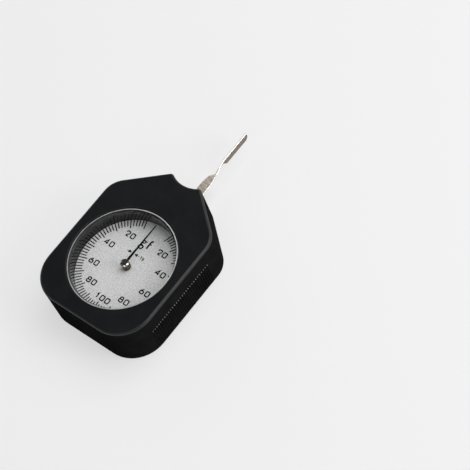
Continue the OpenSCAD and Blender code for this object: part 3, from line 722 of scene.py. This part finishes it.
def makeCap():
    look = capLook
    low, high = nodeBox("pointer_cap")
    r, bottom, top = high.x, low.z, high.z
    floor, ceiling = top - look["dishDepth"], top - look["roof"]
    profile = [(look["bore"], bottom), (r, bottom), (r, top - look["edge"]), (r - look["edge"], top),
               (look["dish"], top), (look["dish"] - look["dishSlope"], floor), (0, floor),
               (0, ceiling), (look["bore"], ceiling)]
    shape = lathe(profile, look["steps"])
    for face in shape.faces:  # the flat top is darker than the turned side, a painted dark reflection
        face.material_index = 1 if face.normal.z > look["level"] else 0
    mesh = meshFrom(look["name"], shape, look["sharp"])
    newPiece(look["name"], mesh, ("hubMetal", "capTopPaintedReflection"), "pointer", "hub_brass", "pointer_cap")


needleLook = {"name": "needle", "edge": 0.05, "edgeSteps": 2, "corner": 60, "sharp": 35}


def makeNeedle():
    look = needleLook
    shape = weldedCopy("pointer_needle")
    corner = math.radians(look["corner"])
    rims = [edge for edge in shape.edges if edge.is_manifold and edge.calc_face_angle(0) > corner]
    bmesh.ops.bevel(
        shape, geom=rims, offset=look["edge"] * mm, segments=look["edgeSteps"], profile=0.5,
        affect="EDGES", clamp_overlap=True)
    mesh = meshFrom(look["name"], shape, look["sharp"])
    needle = newPiece(look["name"], mesh, ["needleBlack"], "pointer", "needle_black", "pointer_needle")
    evenNormals(needle)


makeCap()
makeNeedle()
print("pointer made")


# Stylus

stylusLow, stylusHigh = nodeBox("stylus")
holderTop = nodeBox("stylus_holder")[1].z
screwLow, screwHigh = nodeBox("stylus_screws")
screwHead = (screwHigh.x - screwLow.x) / 2
stripThick = 0.9
waistRun = 2.675  # over which the waist comes in, and goes out again
stylusLook = {
    "Root": stylusLow.y * mm, "Tip": stylusHigh.y * mm, "Root Width": (stylusHigh.x - stylusLow.x) * mm,
    "Blade Width": 3.7 * mm, "Thickness": stripThick * mm, "Height": (holderTop + stripThick / 2) * mm,
    "Edge": 0.36 * mm, "Taper Start": (pivotY + 21) * mm, "Taper Length": 6 * mm,
    "Waist Start": (pivotY + 25.8) * mm, "Waist End": (pivotY + 36.5 - waistRun) * mm,
    "Waist Run": waistRun * mm, "Waist Depth": 2.5 * mm,
    "Twist Start": (pivotY + 23.5) * mm, "Twist Length": 13 * mm, "Tip Bevel": 1.6 * mm,
    "Hole Radius": 0.65 * mm, "Hole Sides": 24, "First Hole": (screwLow.y + screwHead) * mm,
    "Hole Step": (screwHigh.y - screwLow.y - 2 * screwHead) * mm, "Steps": 200,
}
stripFinish = {"flat": 0.96, "paintedShadeFrom": 0.5, "sharp": 40}


def makeStylusTree():
    tree, enter, leave = newGeometryTree("twistedStylus", stylusLook)
    wire, use = tree.links.new, enter.outputs
    line = addNode(tree, "GeometryNodeCurvePrimitiveLine", -1000, 350)
    wire(vectorOf(tree, -1200, 400, Y=use["Root"]), line.inputs["Start"])
    wire(vectorOf(tree, -1200, 250, Y=use["Tip"]), line.inputs["End"])
    fine = addNode(tree, "GeometryNodeResampleCurve", -800, 350)
    wire(line.outputs[0], fine.inputs["Curve"])
    wire(use["Steps"], fine.inputs["Count"])
    section = addNode(tree, "GeometryNodeCurvePrimitiveQuadrilateral", -1000, 100)
    wire(use["Root Width"], section.inputs["Width"])
    wire(use["Thickness"], section.inputs["Height"])
    rounded = addNode(tree, "GeometryNodeFilletCurve", -800, 100, {"Count": 4}, mode="POLY")
    wire(section.outputs[0], rounded.inputs["Curve"])
    wire(use["Edge"], rounded.inputs["Radius"])
    bar = addNode(tree, "GeometryNodeCurveToMesh", -600, 300, {"Fill Caps": True})
    wire(fine.outputs[0], bar.inputs["Curve"])
    wire(rounded.outputs[0], bar.inputs["Profile Curve"])

    place = addNode(tree, "ShaderNodeSeparateXYZ", -800, -200)
    wire(addNode(tree, "GeometryNodeInputPosition", -1000, -200).outputs[0], place.inputs[0])

    def smoothRun(start, length, high, y):  # from 0 at start to high at the end of that length
        run = addNode(
            tree, "ShaderNodeMapRange", -500, y, {"To Max": high}, interpolation_type="SMOOTHSTEP")
        wire(place.outputs["Y"], run.inputs["Value"])
        wire(use[start], run.inputs["From Min"])
        wire(mathNode(tree, "ADD", -700, y, use[start], use[length]), run.inputs["From Max"])
        return run.outputs["Result"]

    gain = mathNode(tree, "SUBTRACT", -500, -350, use["Root Width"], use["Blade Width"])
    taper = smoothRun("Taper Start", "Taper Length", 0.5, -150)
    narrow = mathNode(tree, "MULTIPLY", -300, -150, taper, gain)
    side = mathNode(tree, "SIGN", -300, -300, place.outputs["X"])
    inward = mathNode(tree, "MULTIPLY", -100, -150, narrow, side)
    onLeft = mathNode(tree, "LESS_THAN", -300, -450, place.outputs["X"], 0)
    waist = mathNode(tree, "SUBTRACT", -300, -650, smoothRun("Waist Start", "Waist Run", 1, -650),
                     smoothRun("Waist End", "Waist Run", 1, -850))
    leftWaist = mathNode(tree, "MULTIPLY", -200, -500, waist, onLeft)
    dip = mathNode(tree, "MULTIPLY", -100, -500, leftWaist, use["Waist Depth"])
    shift = mathNode(tree, "SUBTRACT", -20, -250, dip, inward)
    tapered = addNode(tree, "GeometryNodeSetPosition", 150, 250)
    wire(bar.outputs["Mesh"], tapered.inputs["Geometry"])
    wire(vectorOf(tree, 50, -100, X=shift), tapered.inputs["Offset"])

    turned = addNode(
        tree, "ShaderNodeVectorRotate", 150, -350, {"Axis": (0, -1, 0)}, rotation_type="AXIS_ANGLE")
    wire(addNode(tree, "GeometryNodeInputPosition", -50, -400).outputs[0], turned.inputs["Vector"])
    wire(smoothRun("Twist Start", "Twist Length", math.pi / 2, -550), turned.inputs["Angle"])
    twisted = addNode(tree, "GeometryNodeSetPosition", 350, 250)
    wire(tapered.outputs["Geometry"], twisted.inputs["Geometry"])
    wire(turned.outputs["Vector"], twisted.inputs["Position"])
    lifted = addNode(tree, "GeometryNodeTransform", 500, 250)
    wire(twisted.outputs["Geometry"], lifted.inputs["Geometry"])
    wire(vectorOf(tree, 350, 0, Z=use["Height"]), lifted.inputs["Translation"])

    # A cube on edge takes off the tip's lower corner, and two drills make the holes for the screws
    underside = mathNode(tree, "MULTIPLY_ADD", 150, -750, use["Blade Width"], -0.5, use["Height"])
    cubeSide = mathNode(tree, "MULTIPLY", 150, -900, use["Tip Bevel"], math.sqrt(2))
    block = addNode(tree, "GeometryNodeMeshCube", 500, -900)
    wire(vectorOf(tree, 350, -900, X=cubeSide, Y=cubeSide, Z=cubeSide), block.inputs["Size"])
    cutter = addNode(tree, "GeometryNodeTransform", 650, -700, {"Rotation": (math.pi / 4, 0, 0)})
    wire(block.outputs["Mesh"], cutter.inputs["Geometry"])
    wire(vectorOf(tree, 350, -700, Y=use["Tip"], Z=underside), cutter.inputs["Translation"])
    spots = addNode(tree, "GeometryNodeMeshLine", 350, -1150, {"Count": 2})
    wire(vectorOf(tree, 150, -1100, Y=use["First Hole"], Z=use["Height"]), spots.inputs["Start Location"])
    wire(vectorOf(tree, 150, -1250, Y=use["Hole Step"]), spots.inputs["Offset"])
    drill = addNode(tree, "GeometryNodeMeshCylinder", 350, -1400)
    wire(use["Hole Sides"], drill.inputs["Vertices"])
    wire(use["Hole Radius"], drill.inputs["Radius"])
    wire(mathNode(tree, "MULTIPLY", 150, -1450, use["Thickness"], 2), drill.inputs["Depth"])
    drills = addNode(tree, "GeometryNodeInstanceOnPoints", 550, -1200)
    wire(spots.outputs["Mesh"], drills.inputs["Points"])
    wire(drill.outputs["Mesh"], drills.inputs["Instance"])
    cut = addNode(tree, "GeometryNodeMeshBoolean", 800, 0, operation="DIFFERENCE")
    wire(lifted.outputs["Geometry"], cut.inputs["Mesh 1"])
    wire(cutter.outputs["Geometry"], cut.inputs["Mesh 2"])
    wire(drills.outputs["Instances"], cut.inputs["Mesh 2"])
    finishTree(tree, cut.outputs["Mesh"], enter, leave)
    return tree


def finishStrip(mesh):  # its edges are lighter, a painted highlight, and its flats are darker past the middle of the twist, a painted shade
    look = stylusLook
    for face in mesh.polygons:
        share = min(1, max(0, (face.center.y - look["Twist Start"]) / look["Twist Length"]))
        turn = math.pi / 2 * share * share * (3 - 2 * share)
        flat = Vector((-math.sin(turn), 0, math.cos(turn)))
        onEdge = abs(face.normal.dot(flat)) < stripFinish["flat"]
        face.material_index = 1 if onEdge else 2 if share > stripFinish["paintedShadeFrom"] else 0


stylusLayers = ("stylusSteel", "stylusEdgePaintedHighlight", "bladePaintedShade")
stylus = bakeTree(
    "stylus_blade", makeStylusTree(), stylusLook, stylusLayers, "lever", "stylus_steel", "stylus")
finishStrip(stylus.data)
smoothShade(stylus.data, stripFinish["sharp"])
evenNormals(stylus)
print("stylus made:", len(stylus.data.polygons), "faces")


# Screws of the back cover

coverLow, coverHigh = nodeBox("cover_screws")
coverLook = {
    "Ring": 29.6 * mm, "Upper Spread": math.radians(33), "Lower Spread": math.radians(42),
    "Head Radius": 2 * mm, "Head Height": 0.9 * mm, "Chamfer": 0.2 * mm, "Shank Radius": 1 * mm,
    "Slot Width": 0.7 * mm, "Slot Depth": 0.4 * mm, "Bottom": coverLow.z * mm, "Top": coverHigh.z * mm,
    "Sides": 40,
}
coverSharp = 30


def makeScrewTree():
    tree, enter, leave = newGeometryTree("coverScrews", coverLook)
    wire, use = tree.links.new, enter.outputs

    def drum(low, high, start, end, y):  # a round piece that goes from one radius to another
        cone = addNode(tree, "GeometryNodeMeshCone", -800, y)
        wire(use["Sides"], cone.inputs["Vertices"])
        wire(low, cone.inputs["Radius Bottom"])
        wire(high, cone.inputs["Radius Top"])
        wire(mathNode(tree, "SUBTRACT", -1000, y, end, start), cone.inputs["Depth"])
        moved = addNode(tree, "GeometryNodeTransform", -600, y)
        wire(cone.outputs["Mesh"], moved.inputs["Geometry"])
        wire(vectorOf(tree, -800, y - 150, Z=start), moved.inputs["Translation"])
        return moved.outputs["Geometry"]

    face = mathNode(tree, "SUBTRACT", -1200, 500, use["Head Radius"], use["Chamfer"])
    collar = mathNode(tree, "ADD", -1200, 350, use["Bottom"], use["Chamfer"])
    under = mathNode(tree, "ADD", -1200, 200, use["Bottom"], use["Head Height"])
    solid = addNode(tree, "GeometryNodeMeshBoolean", -350, 300, operation="UNION")
    for piece in (drum(face, use["Head Radius"], use["Bottom"], collar, 600),
                  drum(use["Head Radius"], use["Head Radius"], collar, under, 250),
                  drum(use["Shank Radius"], use["Shank Radius"], collar, use["Top"], -100)):
        wire(piece, solid.inputs["Mesh 2"])
    slotLength = mathNode(tree, "MULTIPLY", -1000, -400, use["Head Radius"], 3)
    slotHeight = mathNode(tree, "MULTIPLY", -1000, -550, use["Slot Depth"], 2)
    block = addNode(tree, "GeometryNodeMeshCube", -600, -400)
    wire(vectorOf(tree, -800, -400, X=slotLength, Y=use["Slot Width"], Z=slotHeight), block.inputs["Size"])
    blade = addNode(tree, "GeometryNodeTransform", -350, -400)
    wire(block.outputs["Mesh"], blade.inputs["Geometry"])
    wire(vectorOf(tree, -600, -600, Z=use["Bottom"]), blade.inputs["Translation"])
    screw = addNode(tree, "GeometryNodeMeshBoolean", -100, 200, operation="DIFFERENCE")
    wire(solid.outputs["Mesh"], screw.inputs["Mesh 1"])
    wire(blade.outputs["Geometry"], screw.inputs["Mesh 2"])

    index = addNode(tree, "GeometryNodeInputIndex", -1200, -800).outputs[0]
    odd = mathNode(tree, "MODULO", -1000, -800, index, 2)
    upper = mathNode(tree, "LESS_THAN", -1000, -950, index, 1.5)
    gain = mathNode(tree, "SUBTRACT", -1000, -1100, use["Upper Spread"], use["Lower Spread"])
    spread = mathNode(tree, "MULTIPLY_ADD", -800, -1100, upper, gain, use["Lower Spread"])
    place = {}
    for flag, share, axis, y in ((odd, "SINE", "X", -800), (upper, "COSINE", "Y", -950)):
        sign = mathNode(tree, "MULTIPLY_ADD", -800, y, flag, 2, -1)
        reach = mathNode(tree, "MULTIPLY", -600, y, use["Ring"], mathNode(tree, share, -700, y, spread))
        place[axis] = mathNode(tree, "MULTIPLY", -400, y, sign, reach)
    row = addNode(tree, "GeometryNodeMeshLine", -200, -600, {"Count": 4})
    corners = addNode(tree, "GeometryNodeSetPosition", 0, -600)
    wire(row.outputs["Mesh"], corners.inputs["Geometry"])
    wire(vectorOf(tree, -200, -900, **place), corners.inputs["Position"])
    screws = addNode(tree, "GeometryNodeInstanceOnPoints", 250, 100)
    wire(corners.outputs["Geometry"], screws.inputs["Points"])
    wire(screw.outputs["Mesh"], screws.inputs["Instance"])
    finishTree(tree, screws.outputs["Instances"], enter, leave)
    return tree


screws = bakeTree(
    "back_screws", makeScrewTree(), coverLook, ["screwBlack"], "case", "screw_black", "cover_screws")
smoothShade(screws.data, coverSharp)
print("screws made:", len(screws.data.polygons), "faces")


# Finishes of the CAD pieces that stay as they are

nodeFinish = {
    "caseBlack": ["back_cover"], "rimBlack": ["dial_rim"], "dialSilver": ["dial_plate"],
    "bushPaintedGlints": ["pointer_bush"], "leverBrass": ["lever_bushes", "spring_collet"],
    "springSteel": ["measuring_spring", "hairspring"],
    "steel": ["pillar_screws", "standoffs", "stop_pins", "stylus_holder", "stylus_screws", "lever_arbor",
              "sector_screws", "pointer_arbor"],
    "brass": ["front_plate", "rear_plate", "pillars", "pointer_bushes", "spring_stud", "hairspring_stud",
              "sector_gear", "pinion", "hairspring_collet"],
}
for finish, nodes in nodeFinish.items():
    for node in nodes:
        frame["nodes"][node].material_slots[0].material = finishes[finish]
print("finished nodes:", sum(len(nodes) for nodes in nodeFinish.values()))


# Studio

floorLook = {
    "size": 4.0, "gap": 0.05, "colour": (0.86, 0.86, 0.86, 1), "rough": 0.8, "specular": 0.1, "glow": 0.6,
}


def makeFloor():
    look = floorLook
    half = look["size"] / 2
    mesh = bpy.data.meshes.new("floor")
    corners = [(-half, -half, 0), (half, -half, 0), (half, half, 0), (-half, half, 0)]
    mesh.from_pydata(corners, [], [(0, 1, 2, 3)])
    floor = bpy.data.objects.new("floor", mesh)
    floor.location.z = cadBox[0].z - look["gap"] * mm
    scene.collection.objects.link(floor)
    material, tree, shader = newMaterial("paleFloor")
    shader.inputs["Base Color"].default_value = look["colour"]
    shader.inputs["Roughness"].default_value = look["rough"]
    shader.inputs["Specular IOR Level"].default_value = look["specular"]
    glow = addNode(tree, "ShaderNodeEmission", 0, -300)
    path = addNode(tree, "ShaderNodeLightPath", -500, 400)
    seen = path.outputs["Is Camera Ray"]
    for x, ray in ((-300, "Is Glossy Ray"), (-100, "Is Transmission Ray")):
        seen = mathNode(tree, "MAXIMUM", x, 500, seen, path.outputs[ray])
    mixSurface(tree, mathNode(tree, "MULTIPLY", 100, 400, seen, look["glow"]), shader, glow)
    mesh.materials.append(material)


worldLook = {"colour": (0.94, 0.97, 1, 1), "strength": 0.1}


def makeWorld():
    world = bpy.data.worlds.new("studio")
    world.use_nodes = True
    scene.world = world
    soft = world.node_tree.nodes["Background"]
    soft.inputs["Color"].default_value = worldLook["colour"]
    soft.inputs["Strength"].default_value = worldLook["strength"]


lampLook = {
    "keyLamp": dict(place=(0.22, 0.5, 0.86), size=1.0, power=6.6),
    "rightLamp": dict(place=(0.85, 0.28, 0.48), size=0.4, power=3.2),
    "leftLamp": dict(place=(-0.95, 0.24, 0.42), size=0.85, power=2.1),
    "frontLamp": dict(place=(0.34, -0.82, 0.47), size=0.44, power=0.9),
}


def makeLamps():
    for name, look in lampLook.items():
        lamp = bpy.data.lights.new(name, "AREA")
        lamp.shape = "SQUARE"
        lamp.size = look["size"]
        lamp.energy = look["power"]
        holder = bpy.data.objects.new(name, lamp)
        holder.location = look["place"]
        holder.rotation_euler = Vector(look["place"]).to_track_quat("Z", "Y").to_euler()
        scene.collection.objects.link(holder)


# The photograph is 470 pixels wide, and its camera's focal length is 1600 of them.
# Its middle is half a pixel off.
cameraLook = {
    "place": (0.3568, -0.1595, 0.5947), "turn": (30.915, 12.862, 38.354), "focal": 1600, "frame": 470,
    "sensor": 36, "shift": (-0.5, 0.5),
}


def makeCamera():
    look = cameraLook
    lens = bpy.data.cameras.new("camera")
    lens.sensor_width = look["sensor"]
    lens.lens = look["focal"] / look["frame"] * look["sensor"]
    lens.shift_x, lens.shift_y = [pixels / look["frame"] for pixels in look["shift"]]
    camera = bpy.data.objects.new("camera", lens)
    camera.location = look["place"]
    camera.rotation_euler = [math.radians(angle) for angle in look["turn"]]
    scene.collection.objects.link(camera)
    scene.camera = camera


makeFloor()
makeWorld()
makeLamps()
makeCamera()
scene.view_settings.view_transform = "Standard"
print("studio made")
